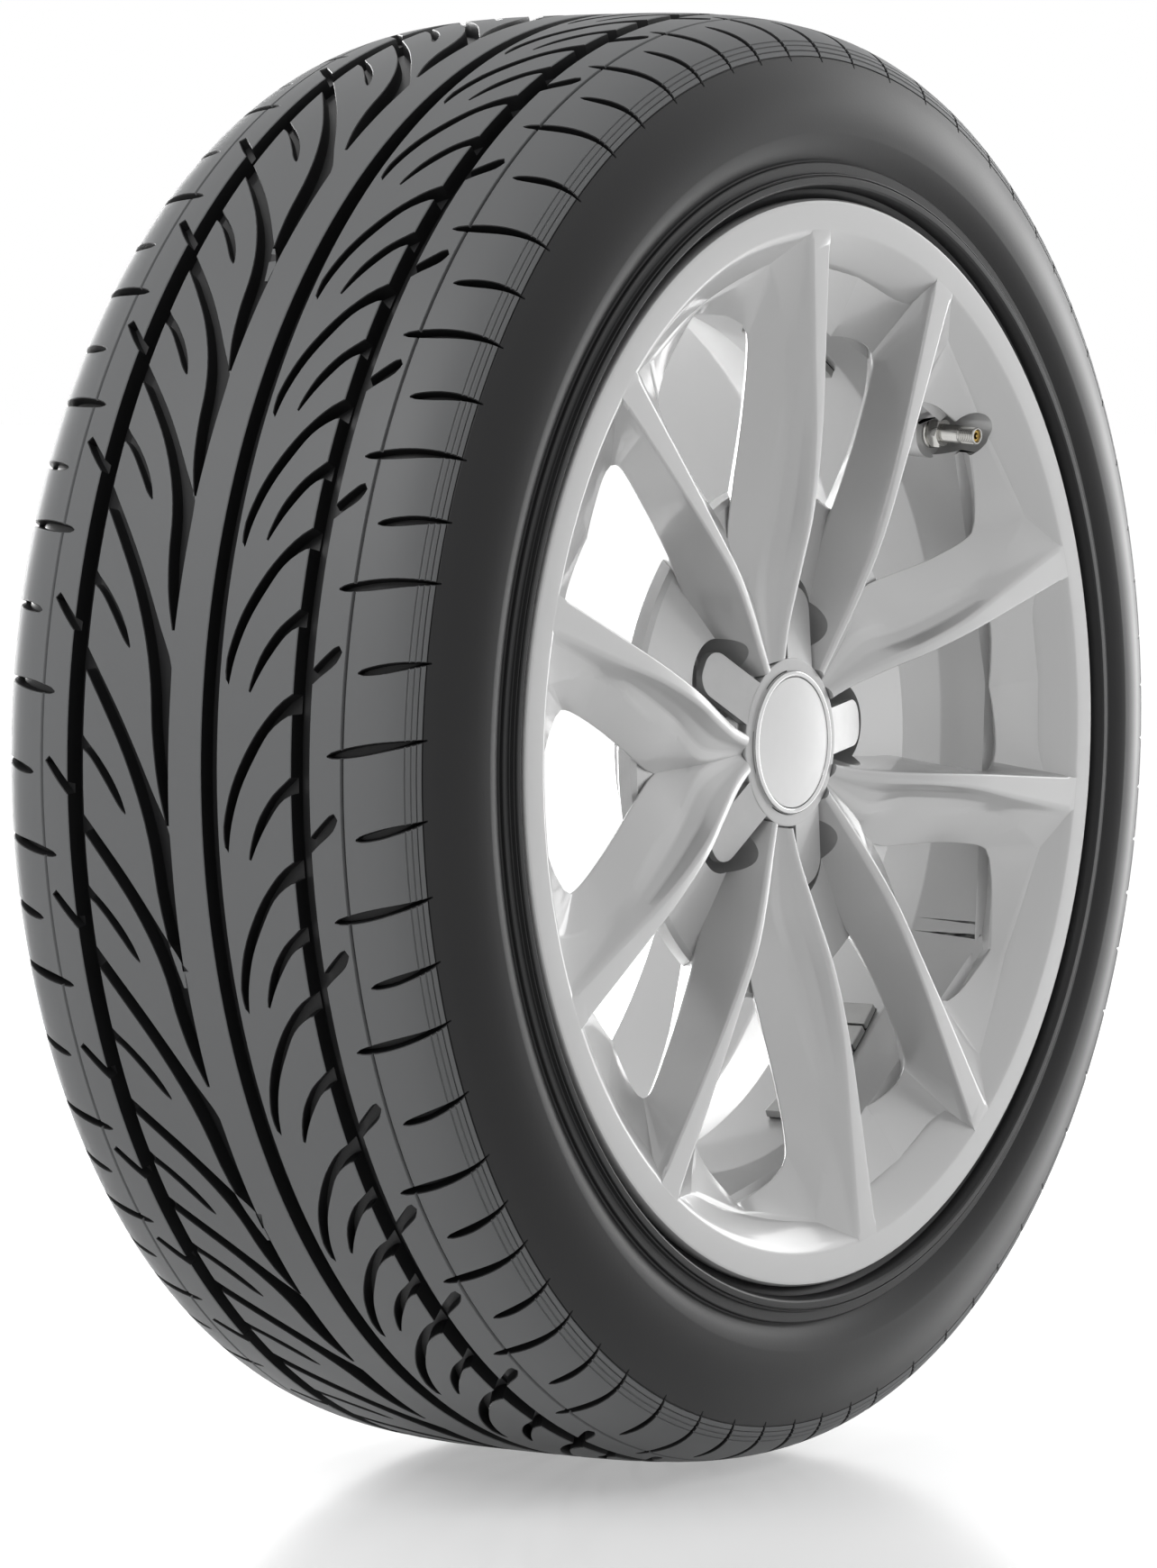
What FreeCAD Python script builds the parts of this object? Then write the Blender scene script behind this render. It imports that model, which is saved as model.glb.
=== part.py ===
"""A car wheel with its tyre: a directional road tyre on a cast wheel with five V-shaped pairs of spokes.

The wheel turns about Y. Its outer face looks along -Y, +Z is up and the origin is the wheel's centre.
Sizes are in millimetres. A section is drawn as (radius, y) and turned about Y. An angle is counted
from +X towards +Z.
"""
import FreeCAD
import Part
import math
import os

Vector = FreeCAD.Vector
SPIN_AXIS = Vector(0, 1, 0)
CENTRE = Vector(0, 0, 0)
HALF_ROOT = math.sqrt(0.5)

# Tyre
tyre_radius = 317.2
contact_flat_depth = 0.5
crown_half_width = 60.0
crown_drop = 1.4
tread_edge_half_width = 90.0
tread_edge_drop = 7.9
shoulder_half_width = 103.2
shoulder_drop = 21.6
sidewall_half_width = 113.2
sidewall_drop = 54.2
protector_half_width = 113.7
protector_height = 7.9
protector_width = 2.5
tread_thickness = 16.5
sidewall_thickness = 8.5
bead_width = 17.5
bead_clearance = 0.15

# Tread pattern
centre_rib_width = 16.4
centre_groove_width = 8.2
main_groove_offset = 56.6
main_groove_width = 8.6
groove_depth = 7.5
groove_draft = 0.8
pitch_letters = "LMMMLLMLSSMLMSSLMMLLMSSMLMSMLLMSSM"
pitch_lengths = {"L": 12.2, "M": 10.1, "S": 9.1}
first_pitch_angle = 123.3
side_stagger = 4.1
long_slot_length = 60.0
long_slot_width = 4.6
long_slot_depth = 6.5
long_slot_lag = 2.6
open_slot_end = 16.0
blind_slot_end = 21.0
shoulder_slot_width = 3.0
shoulder_slot_depth = 5.0
shoulder_slot_start = 69.5
shoulder_slot_lean = 14.0

# Rim
rim_half_width = 101.6
bead_seat_radius = 218.3
seat_fall = 1.3
heel_chamfer = 6.0
flange_radius = 235.6
flange_chamfer = 4.6
inner_flange_width = 7.0
hump_offset = 77.0
hump_half_width = 3.0
hump_height = 1.5
lip_plane = 111.3
lip_inner_radius = 222.5
lip_edge = 2.2
lip_bevel_width = 5.0
lip_bevel_depth = 3.3
floor_start_radius = 207.0
floor_start = -100.0
floor_end = -57.0
well_radius = 197.0
well_wall = 7.0
well_start = -61.0
well_end = -14.0
inner_leg_radius = 213.0
inner_leg_start = 22.0
barrel_wall = 7.5
rim_skin = 1.0

# Spokes: each pair is a V about its middle line, and a section lies across that line
pair_count = 5
spoke_slope = 0.5
spoke_origin = 23.0
spoke_drop = 16.0
spoke_root = 38.0
spoke_flat = 130.0
spoke_draft = 3.0
spoke_sections = [
    # distance, land width, front width, scoop depth, foot width, arm flare, parting plane, back plane
    (38.0, 3.5, 8.0, 4.0, 14.0, 5.5, -82.0, -64.0),
    (76.0, 5.0, 24.5, 12.5, 32.0, 8.0, -82.0, -66.0),
    (106.0, 5.5, 17.5, 13.8, 31.0, 8.0, -86.0, -72.0),
    (140.0, 9.0, 16.5, 10.5, 29.5, 1.0, -87.0, -76.0),
    (175.0, 13.0, 17.0, 5.3, 39.5, 1.0, -89.0, -78.0),
    (214.0, 19.0, 19.5, 0.8, 56.5, 1.5, -91.0, -80.0),
]

# Hub
first_arm_angle = 149.33
mounting_plane = -47.0
pad_radius = 72.0
pad_height = 6.0
centre_bore_radius = 28.55
centre_bore_length = 15.0
bore_chamfer = 1.0
cover_bore_radius = 30.6
bolt_circle_radius = 56.0
bolt_hole_radius = 7.5
bolt_hole_length = 12.0
bolt_seat_radius = 12.5
bolt_seat_depth = 5.0
bolt_pocket_radius = 18.0
web_radius = 112.0
web_front = -84.0
web_edge_thickness = 9.0
boss_width = 7.4
back_pocket_inner_radius = 46.0
back_pocket_outer_radius = 64.0
back_pocket_depth = 8.0
back_pocket_angle = 26.0

# Hub cover
cover_radius = 37.0
cover_face = -93.0
cover_wall = 4.0
cover_edge = 1.2
cover_gap = 0.5
cover_seat_gap = 0.2
arm_width = 20.6
arm_reach = 69.0
arm_drop = 7.0
arm_wall = 3.2
arm_corner_radius = 8.5
arm_gap = 1.0
arm_channel_floor = -82.0
snap_leg_count = 6
snap_leg_wall = 2.2
snap_leg_gap = 0.4
snap_leg_length = 21.0
snap_leg_angle = 36.0
trim_recess_depth = 1.5
trim_ring_radius = 31.3
trim_ring_gap = 0.2
trim_ring_width = 2.6
trim_ring_height = 3.7
trim_ring_bevel = 0.8
disc_gap = 0.2
disc_edge_thickness = 1.7
disc_crown = 1.2
disc_pad_thickness = 1.0
disc_pad_radius = 25.0
clip_strip_thickness = 0.9
clip_strip_width = 2.0
clip_groove_depth = 0.5
clip_gap = 0.05
clip_height = 5.0
clip_turn = 342.0

# Valve: its own axis is drawn along Y, with the seat on the rim at y = 0 and the tip towards -Y
valve_angle = 41.33
valve_seat_radius = 201.6
valve_seat_plane = -74.0
valve_tilt = 6.0
valve_recess_radius = 10.5
valve_boss_radius = 11.8
valve_hole_radius = 5.75
valve_wall = 5.5
valve_length = 25.6
stem_radius = 4.1
stem_tip_radius = 3.85
stem_tip_length = 9.0
stem_foot_radius = 8.5
stem_foot_thickness = 3.2
stem_foot_gap = 0.8
stem_way_radius = 1.5
stem_edge = 0.5
seal_thickness = 2.6
seal_gap = 0.1
washer_radius = 7.4
washer_thickness = 1.4
thread_gap = 0.1
nut_flats = 12.0
nut_height = 5.6
core_bore_radius = 2.6
core_depth = 1.0
core_gap = 0.05
plug_height = 4.2
plug_way_radius = 1.55
gasket_height = 1.4
barrel_radius = 2.2
barrel_length = 9.0
barrel_wall_thickness = 0.65
barrel_shelf = 0.8
pin_radius = 0.6
pin_gap = 0.15
pin_travel = 1.2
collar_radius = 1.4
collar_height = 0.6
cup_radius = 2.0
cup_height = 1.3
spring_wire = 0.3
spring_turns = 3

# Balance weights
weight_length = 12.0
weight_width = 19.0
weight_height = 4.0
weight_gap = 1.2
weight_link = 1.0
tape_thickness = 0.8
tape_inset = 0.6
tape_gap = 0.05
weight_edge = -54.0
weight_strips = {"front": (-43.0, -1, 6), "rear": (58.0, 1, 4)}

pair_step = 360.0 / pair_count
cover_seat = cover_face + cover_wall + cover_seat_gap
well_inner_radius = well_radius - well_wall


def turned(points, degrees=360):
    """A closed outline of (radius, y) points, turned about the spin axis."""
    corners = [Vector(radius, y, 0) for radius, y in points]
    face = Part.Face(Part.makePolygon(corners + corners[:1]))
    return face.revolve(CENTRE, SPIN_AXIS, degrees)


def at_angle(shape, degrees):
    """A copy turned about the spin axis so that what lies on +X goes to the angle given."""
    copy = shape.copy()
    copy.rotate(CENTRE, SPIN_AXIS, -degrees)
    return copy


def mirrored(shape):
    """The same shape on the other side of the wheel's middle plane."""
    return shape.mirror(CENTRE, SPIN_AXIS)


def rod(radius, low, high, x=0.0):
    """A cylinder along Y from low to high, at the radius x on the +X side."""
    return Part.makeCylinder(radius, high - low, Vector(x, low, 0), SPIN_AXIS)


def ring(inner, outer, low, high, degrees=360):
    """A plain ring, or a part of one, between two radii and two planes."""
    return turned([(inner, low), (outer, low), (outer, high), (inner, high)], degrees)


def prism(points, direction):
    """A flat closed outline pushed along a direction."""
    return Part.Face(Part.makePolygon(points + points[:1])).extrude(direction)


def pitch_angles():
    """The angle at which each tread pitch starts, from a sequence of long, middle and short pitches."""
    lengths = [pitch_lengths[letter] for letter in pitch_letters]
    scale = 360.0 / sum(lengths)
    angles = [first_pitch_angle]
    for length in lengths[:-1]:
        angles.append(angles[-1] + length * scale)
    return angles


def tyre_carcass():
    """The tyre's whole section: tread, shoulders, sidewalls, rim protector ribs and beads."""
    seat = bead_seat_radius + bead_clearance
    heel = rim_half_width - bead_clearance
    toe = rim_half_width - bead_width
    flange_middle = rim_half_width + flange_chamfer
    crown = tyre_radius - crown_drop
    tread_edge = tyre_radius - tread_edge_drop
    shoulder = tyre_radius - shoulder_drop
    sidewall = tyre_radius - sidewall_drop
    protector = flange_radius + protector_height
    inner_crown = tyre_radius - tread_thickness
    inner_side = sidewall_half_width - sidewall_thickness
    half = turned([
        (tyre_radius, 0.0),
        (crown, crown_half_width),
        (crown * 0.6 + tread_edge * 0.4, crown_half_width * 0.43 + tread_edge_half_width * 0.57),
        (tread_edge, tread_edge_half_width),
        (tread_edge * 0.6 + shoulder * 0.4, tread_edge_half_width * 0.35 + shoulder_half_width * 0.65),
        (shoulder, shoulder_half_width),
        (shoulder * 0.54 + sidewall * 0.46, shoulder_half_width * 0.34 + sidewall_half_width * 0.66),
        (sidewall, sidewall_half_width),
        (protector + 2 * protector_width, sidewall_half_width - 0.9),
        (protector + protector_width, protector_half_width),
        (protector, protector_half_width),
        (flange_radius + 2.4, flange_middle + 1.7),
        (flange_radius + bead_clearance, flange_middle),
        (flange_radius - flange_chamfer, heel),
        (bead_seat_radius + heel_chamfer, heel),
        (seat, rim_half_width - heel_chamfer),
        (seat - seat_fall * 0.7, toe),
        (seat + 3.0, toe - 0.5),
        (seat + 26.0, rim_half_width - 6.0),
        (sidewall, inner_side),
        (inner_crown - 16.7, inner_side - 2.0),
        (inner_crown - 6.0, tread_edge_half_width - 4.0),
        (inner_crown, crown_half_width - 10.0),
        (inner_crown, 0.0),
    ])
    return half.fuse(mirrored(half)).removeSplitter()


def ring_groove(middle, width, surface, depth):
    """A groove right round the tread, with drafted walls, below the surface radius at that place."""
    low = middle - width / 2
    high = middle + width / 2
    return turned([
        (surface - depth, low + groove_draft),
        (surface - depth, high - groove_draft),
        (surface + depth, high + groove_draft),
        (surface + depth, low - groove_draft),
    ])


def long_slot(inner_end):
    """A curved slot from the main groove towards the centre rib, as a cutter at angle 0."""
    start = Vector(main_groove_offset - 2, -long_slot_length / 2, 0)
    bend = Vector(main_groove_offset * 0.53 + inner_end * 0.17, -long_slot_length * 0.07, 0)
    end = Vector(inner_end, long_slot_length / 2, 0)
    circle = Part.Arc(start, bend, end).toShape().Curve
    rails = []
    for shift in (-long_slot_width / 2, long_slot_width / 2):
        scale = (circle.Radius + shift) / circle.Radius
        moved = [circle.Center + (point - circle.Center) * scale for point in (start, bend, end)]
        rails.append([Vector(tyre_radius - crown_drop - long_slot_depth, point.x, point.y) for point in moved])
    near, far = rails
    outline = Part.Wire([
        Part.Arc(near[0], near[1], near[2]).toShape(),
        Part.LineSegment(near[2], far[2]).toShape(),
        Part.Arc(far[2], far[1], far[0]).toShape(),
        Part.LineSegment(far[0], near[0]).toShape(),
    ])
    return Part.Face(outline).extrude(Vector(3 * long_slot_depth, 0, 0))


def shoulder_slot():
    """A slot that runs out over the shoulder and fades on the sidewall, as a cutter at angle 0."""
    tread_edge = tyre_radius - tread_edge_drop
    shoulder = tyre_radius - shoulder_drop
    above = tyre_radius + shoulder_slot_depth
    beyond = sidewall_half_width + shoulder_slot_depth
    side = [
        (above, shoulder_slot_start - 2),
        (tyre_radius - crown_drop - shoulder_slot_depth - 2, shoulder_slot_start + 8),
        (tread_edge - shoulder_slot_depth, tread_edge_half_width + 2),
        (shoulder - 10, shoulder_half_width + 4.2),
        (shoulder, beyond),
        (above, beyond),
    ]
    corners = [Vector(radius, y, -shoulder_slot_width / 2) for radius, y in side]
    cutter = prism(corners, Vector(0, 0, shoulder_slot_width))
    cutter.rotate(Vector(0, tread_edge_half_width, 0), Vector(1, 0, 0), -shoulder_slot_lean)
    return cutter


def tyre():
    """The moulded tyre with its tread pattern and a small flat where it stands on the ground."""
    crown = tyre_radius - crown_drop
    centre_groove_offset = (centre_rib_width + centre_groove_width) / 2
    cutters = []
    for side in (-1, 1):
        cutters.append(ring_groove(side * centre_groove_offset, centre_groove_width, tyre_radius, groove_depth))
        cutters.append(ring_groove(side * main_groove_offset, main_groove_width, crown, groove_depth))
    inner_slots = (mirrored(long_slot(blind_slot_end)), long_slot(open_slot_end))
    outer_slots = (mirrored(shoulder_slot()), shoulder_slot())
    for angle in pitch_angles():
        for place, shift in ((0, 0.0), (1, side_stagger)):
            cutters.append(at_angle(inner_slots[place], angle + long_slot_lag - shift))
            cutters.append(at_angle(outer_slots[place], angle - shift))
    body = tyre_carcass().cut(Part.makeCompound(cutters))
    size = 2 * tyre_radius
    ground = Part.makeBox(size, size, size, Vector(-size / 2, -size / 2, contact_flat_depth - tyre_radius - size))
    return body.cut(ground)


def rim_outline():
    """The rim's side towards the tyre, from the outboard flange to the inboard one."""
    flange_middle = rim_half_width + flange_chamfer
    flange_start = flange_radius - flange_chamfer
    heel_start = bead_seat_radius + heel_chamfer
    seat_end = rim_half_width - heel_chamfer
    seat_toe = bead_seat_radius - seat_fall
    hump_top = seat_toe + hump_height
    return [
        (flange_radius, -flange_middle),
        (flange_start, -rim_half_width),
        (heel_start, -rim_half_width),
        (bead_seat_radius, -seat_end),
        (seat_toe, -hump_offset - hump_half_width),
        (hump_top, -hump_offset),
        (seat_toe, -hump_offset + hump_half_width),
        (well_radius, well_start),
        (well_radius, well_end),
        (inner_leg_radius, inner_leg_start),
        (seat_toe, hump_offset - hump_half_width),
        (hump_top, hump_offset),
        (seat_toe, hump_offset + hump_half_width),
        (bead_seat_radius, seat_end),
        (heel_start, rim_half_width),
        (flange_start, rim_half_width),
        (flange_radius, flange_middle),
    ]


def rim():
    """The rim ring: the tyre's side, the two flange edges, the barrel, the sloping floor and the lip."""
    inner_edge = rim_half_width + inner_flange_width
    return turned(rim_outline() + [
        (flange_radius, inner_edge),
        (flange_radius - flange_chamfer - heel_chamfer, inner_edge),
        (bead_seat_radius - barrel_wall, rim_half_width - heel_chamfer),
        (inner_leg_radius - barrel_wall, inner_leg_start),
        (well_inner_radius, well_end + 1.0),
        (well_inner_radius, floor_end),
        (floor_start_radius, floor_start),
        (lip_inner_radius - lip_bevel_width, -lip_plane + lip_bevel_depth),
        (lip_inner_radius, -lip_plane),
        (flange_radius - lip_edge, -lip_plane),
        (flange_radius, -lip_plane + lip_edge),
    ])


def rim_filled():
    """All that lies within the rim, just short of its tyre side, to trim what is added from inside."""
    seat_toe = bead_seat_radius - seat_fall - rim_skin
    return turned([
        (0.0, -lip_plane),
        (lip_inner_radius + lip_bevel_width, -lip_plane),
        (bead_seat_radius + heel_chamfer - rim_skin, -rim_half_width - rim_skin),
        (bead_seat_radius - rim_skin, -rim_half_width + heel_chamfer),
        (seat_toe, -hump_offset - hump_half_width),
        (seat_toe, -hump_offset + hump_half_width),
        (well_radius - rim_skin, well_start),
        (well_radius - rim_skin, 0.0),
        (0.0, 0.0),
    ])


def spoke_section(distance, land_width, front_width, scoop_depth, foot_width, arm_flare, parting, back):
    """One section of a spoke: a flat land, a scooped front down to a crest, the V wall and the back."""
    edge = spoke_slope * (distance - spoke_origin)
    rise = max(0.0, (spoke_flat - distance) / (spoke_flat - spoke_root))
    land = -lip_plane + spoke_drop * rise ** 2
    outline = [
        (edge, land),
        (edge - land_width, land),
        (edge - front_width, land + scoop_depth),
        (edge - foot_width, parting),
        (edge - foot_width + spoke_draft, back),
        (edge + arm_flare - spoke_draft, back),
        (edge + arm_flare, parting),
    ]
    corners = [Vector(distance, y, across) for across, y in outline]
    return Part.makePolygon(corners + corners[:1])


def spoke_pair():
    """Two spokes that meet in a V at the hub, about the middle line on +X, trimmed to the rim."""
    spoke = Part.makeLoft([spoke_section(*row) for row in spoke_sections], True, False)
    pair = spoke.fuse(spoke.mirror(CENTRE, Vector(0, 0, 1)))
    return pair.common(rim_filled())


def hub():
    """The hub: mounting pad, centre bore, web out to the spokes and the boss that the cover sits on."""
    bore_end = mounting_plane - centre_bore_length
    boss_radius = cover_bore_radius + boss_width
    return turned([
        (centre_bore_radius + bore_chamfer, mounting_plane),
        (pad_radius, mounting_plane),
        (pad_radius, mounting_plane - pad_height),
        (web_radius, web_front + web_edge_thickness),
        (web_radius, web_front),
        (boss_radius + (web_front - cover_seat), web_front),
        (boss_radius, cover_seat),
        (cover_bore_radius, cover_seat),
        (cover_bore_radius, bore_end),
        (centre_bore_radius, bore_end),
        (centre_bore_radius, mounting_plane - bore_chamfer),
    ])


def bolt_cutter():
    """The way of one wheel bolt: through hole, cone seat and the pocket that the cover's arm spans."""
    seat_low = mounting_plane - bolt_hole_length
    pocket_floor = seat_low - bolt_seat_depth
    hole = rod(bolt_hole_radius, seat_low - 1.0, mounting_plane + 1.0, bolt_circle_radius)
    seat = Part.makeCone(bolt_seat_radius, bolt_hole_radius, bolt_seat_depth,
                         Vector(bolt_circle_radius, pocket_floor, 0), SPIN_AXIS)
    pocket = rod(bolt_pocket_radius, -lip_plane - 1.0, pocket_floor, bolt_circle_radius)
    half = arm_width / 2 + arm_gap
    channel = Part.makeBox(arm_reach + arm_gap - cover_bore_radius, lip_plane + arm_channel_floor, 2 * half,
                           Vector(cover_bore_radius, -lip_plane, -half))
    channel = channel.cut(rod(cover_radius + cover_gap, cover_seat, arm_channel_floor))
    return hole.fuse([seat, pocket, channel])


def placed_valve(shape):
    """A valve piece, drawn along its own axis, put at its place on the rim."""
    shape.rotate(CENTRE, Vector(0, 0, 1), -valve_tilt)
    shape.translate(Vector(valve_seat_radius, valve_seat_plane, 0))
    return at_angle(shape, valve_angle)


def alloy_wheel():
    """The cast wheel: rim, hub and spokes in one piece, then its machined holes and pockets."""
    pair = spoke_pair()
    valve_boss = placed_valve(rod(valve_boss_radius, 0.0, 3 * valve_wall)).common(rim_filled())
    additions = [hub(), valve_boss]
    cutters = [rod(cover_radius + cover_gap, -lip_plane - 1.0, cover_seat)]
    cutters.append(rod(cover_bore_radius, cover_seat - 1.0, mounting_plane - centre_bore_length))
    back_pocket = ring(back_pocket_inner_radius, back_pocket_outer_radius,
                       mounting_plane - back_pocket_depth, mounting_plane + 1.0, back_pocket_angle)
    for number in range(pair_count):
        arm_angle = first_arm_angle - number * pair_step
        pair_angle = arm_angle - pair_step / 2
        additions.append(at_angle(pair, pair_angle))
        cutters.append(at_angle(bolt_cutter(), arm_angle))
        cutters.append(at_angle(back_pocket, pair_angle + back_pocket_angle / 2))
    foot_space = stem_foot_radius + stem_foot_gap
    cutters.append(placed_valve(rod(valve_recess_radius, -2 * valve_length, 0.0)))
    cutters.append(placed_valve(rod(valve_hole_radius, -1.0, valve_wall + 1.0)))
    cutters.append(placed_valve(rod(foot_space, valve_wall, 3 * valve_wall)))
    casting = rim().fuse(additions)
    return casting.cut(Part.makeCompound(cutters)).removeSplitter()


def cover_arm():
    """One arm of the cover, along +X: it slopes down to a rounded tip."""
    start = cover_radius - arm_wall
    half = arm_width / 2
    tip = cover_face + arm_drop
    side = [(start, cover_face), (arm_reach, tip), (arm_reach, tip + arm_wall), (start, cover_face + arm_wall)]
    plate = prism([Vector(x, y, -half) for x, y in side], Vector(0, 0, arm_width))
    corner = arm_reach - arm_corner_radius
    turn = arm_corner_radius * HALF_ROOT
    outline = []
    here = Vector(0, 0, -half)
    for through, end in (
        (None, (corner, -half)),
        ((corner + turn, -half + arm_corner_radius - turn), (arm_reach, arm_corner_radius - half)),
        (None, (arm_reach, half - arm_corner_radius)),
        ((corner + turn, half - arm_corner_radius + turn), (corner, half)),
        (None, (0, half)),
        (None, (0, -half)),
    ):
        there = Vector(end[0], 0, end[1])
        if through:
            outline.append(Part.Arc(here, Vector(through[0], 0, through[1]), there).toShape())
        else:
            outline.append(Part.LineSegment(here, there).toShape())
        here = there
    plan = Part.Face(Part.Wire(outline)).extrude(Vector(0, -cover_face, 0))
    plan.translate(Vector(0, cover_face, 0))
    return plate.common(plan)


def snap_leg_radius():
    """The outside of the snap legs, which stand in the front of the centre bore."""
    return cover_bore_radius - snap_leg_gap


def clip_plane():
    """The plane of the clip strip's edge, near the ends of the snap legs."""
    return cover_face + cover_wall + snap_leg_length - clip_height


def hub_cover():
    """The plastic star cover: round body, five arms over the bolts and snap legs into the bore."""
    floor = cover_face + trim_recess_depth
    back = cover_face + cover_wall
    recess = trim_ring_radius + trim_ring_gap
    body = turned([
        (0.0, floor),
        (recess, floor),
        (recess, cover_face),
        (cover_radius - cover_edge, cover_face),
        (cover_radius, cover_face + cover_edge),
        (cover_radius, back),
        (0.0, back),
    ])
    leg_outside = snap_leg_radius()
    leg_inside = leg_outside - snap_leg_wall
    leg = ring(leg_inside, leg_outside, back - 1.0, back + snap_leg_length, snap_leg_angle)
    pieces = []
    for number in range(pair_count):
        pieces.append(at_angle(cover_arm(), first_arm_angle - number * pair_step))
    for number in range(snap_leg_count):
        pieces.append(at_angle(leg, number * 360.0 / snap_leg_count))
    groove = ring(leg_inside - 1.0, leg_inside + clip_groove_depth,
                  clip_plane() - clip_gap, clip_plane() + clip_strip_width + clip_gap)
    return body.fuse(pieces).cut(groove).removeSplitter()


def cover_trim_ring():
    """The bright ring round the middle of the cover."""
    low = cover_face + trim_recess_depth
    inside = trim_ring_radius - trim_ring_width
    return turned([
        (inside, low),
        (trim_ring_radius, low),
        (trim_ring_radius, low - trim_ring_height + trim_ring_bevel),
        (trim_ring_radius - trim_ring_bevel, low - trim_ring_height),
        (inside + trim_ring_bevel, low - trim_ring_height),
        (inside, low - trim_ring_height + trim_ring_bevel),
    ])


def cover_disc():
    """The plain domed disc inside the ring."""
    low = cover_face + trim_recess_depth - disc_pad_thickness
    radius = trim_ring_radius - trim_ring_width - disc_gap
    edge = low - disc_edge_thickness
    return turned([
        (0.0, low),
        (radius, low),
        (radius, edge),
        (radius / 2, edge - disc_crown * 0.75),
        (0.0, edge - disc_crown),
    ])


def cover_disc_pad():
    """The adhesive pad that holds the disc to the cover."""
    low = cover_face + trim_recess_depth
    return rod(disc_pad_radius, low - disc_pad_thickness, low)


def cover_clip_ring():
    """The split spring strip that presses the snap legs outwards."""
    outside = snap_leg_radius() - snap_leg_wall + clip_groove_depth - clip_gap
    return ring(outside - clip_strip_thickness, outside, clip_plane(), clip_plane() + clip_strip_width, clip_turn)


def core_start():
    """The plane of the valve core's outer end, just inside the stem's tip."""
    return core_depth - valve_length


def barrel_start():
    """The plane where the core's barrel starts, below its plug and gasket."""
    return core_start() + plug_height + gasket_height


def valve_stem():
    """The clamp-in valve's metal stem, with its foot in the tyre and a bore for the core."""
    foot = valve_wall + seal_thickness
    tip = -valve_length
    bore_end = barrel_start() + barrel_length + cup_height + 2 * pin_travel
    return placed_valve(turned([
        (stem_way_radius, foot + stem_foot_thickness),
        (stem_foot_radius, foot + stem_foot_thickness),
        (stem_foot_radius, foot),
        (stem_radius, foot),
        (stem_radius, tip + stem_tip_length),
        (stem_tip_radius, tip + stem_tip_length - stem_edge),
        (stem_tip_radius, tip + stem_edge),
        (stem_tip_radius - stem_edge, tip),
        (core_bore_radius, tip),
        (core_bore_radius, bore_end),
        (stem_way_radius, bore_end + core_bore_radius - stem_way_radius),
    ]))


def valve_seal():
    """The rubber seal: a washer under the stem's foot with a sleeve through the rim's hole."""
    inside = stem_radius + seal_gap
    return placed_valve(turned([
        (inside, seal_gap),
        (valve_hole_radius - seal_gap, seal_gap),
        (valve_hole_radius - seal_gap, valve_wall),
        (stem_foot_radius, valve_wall),
        (stem_foot_radius, valve_wall + seal_thickness),
        (inside, valve_wall + seal_thickness),
    ]))


def valve_washer():
    """The flat washer under the valve's nut."""
    return placed_valve(ring(stem_radius + thread_gap, washer_radius, -washer_thickness, 0.0))


def valve_nut():
    """The hexagon nut that clamps the valve."""
    corner = nut_flats / math.sqrt(3.0)
    points = []
    for number in range(6):
        angle = math.radians(60.0 * number)
        points.append(Vector(corner * math.cos(angle), -washer_thickness, corner * math.sin(angle)))
    body = prism(points, Vector(0, -nut_height, 0))
    return placed_valve(body.cut(rod(stem_radius + thread_gap, -washer_thickness - nut_height - 1.0, 1.0)))


def valve_core_plug():
    """The threaded head that holds the core in the stem."""
    return placed_valve(ring(plug_way_radius, core_bore_radius - core_gap, core_start(), core_start() + plug_height))


def valve_core_gasket():
    """The ring that seals the core against the stem."""
    low = core_start() + plug_height
    return placed_valve(ring(plug_way_radius, core_bore_radius - core_gap, low, low + gasket_height))


def valve_core_barrel():
    """The core's barrel, with a shelf at its end that the spring stands on."""
    low = barrel_start()
    end = low + barrel_length
    inside = barrel_radius - barrel_wall_thickness
    return placed_valve(turned([
        (inside, low),
        (barrel_radius, low),
        (barrel_radius, end),
        (pin_radius + pin_gap, end),
        (pin_radius + pin_gap, end - barrel_shelf),
        (inside, end - barrel_shelf),
    ]))


def collar_plane():
    """The plane of the pin's collar on the side that the spring pushes."""
    return barrel_start() + pin_travel


def valve_core_pin():
    """The core's pin, with the collar that the spring lifts."""
    collar = collar_plane()
    end = barrel_start() + barrel_length + cup_height
    return placed_valve(turned([
        (0.0, core_start() - core_depth / 2),
        (pin_radius, core_start() - core_depth / 2),
        (pin_radius, collar - collar_height),
        (collar_radius, collar - collar_height),
        (collar_radius, collar),
        (pin_radius, collar),
        (pin_radius, end),
        (0.0, end),
    ]))


def valve_core_cup():
    """The cup on the pin's end that closes the barrel."""
    low = barrel_start() + barrel_length
    return placed_valve(ring(pin_radius, cup_radius, low + core_gap, low + cup_height))


def valve_core_spring():
    """The coil spring between the barrel's shelf and the pin's collar."""
    low = collar_plane() + spring_wire / 2 + core_gap
    high = barrel_start() + barrel_length - barrel_shelf - spring_wire / 2 - core_gap
    radius = (pin_radius + barrel_radius - barrel_wall_thickness) / 2
    half = spring_wire / 2
    path = Part.makeHelix((high - low) / spring_turns, high - low, radius)
    wire = Part.makePolygon([
        Vector(radius - half, 0, -half),
        Vector(radius + half, 0, -half),
        Vector(radius + half, 0, half),
        Vector(radius - half, 0, half),
        Vector(radius - half, 0, -half),
    ])
    coil = Part.Wire(path).makePipeShell([wire], True, True)
    coil.rotate(CENTRE, Vector(1, 0, 0), -90)
    coil.translate(Vector(0, low, 0))
    return placed_valve(coil)


def weight_step():
    """The angle from one weight of a strip to the next."""
    return math.degrees((weight_length + weight_gap) / (well_inner_radius - tape_thickness))


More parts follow.
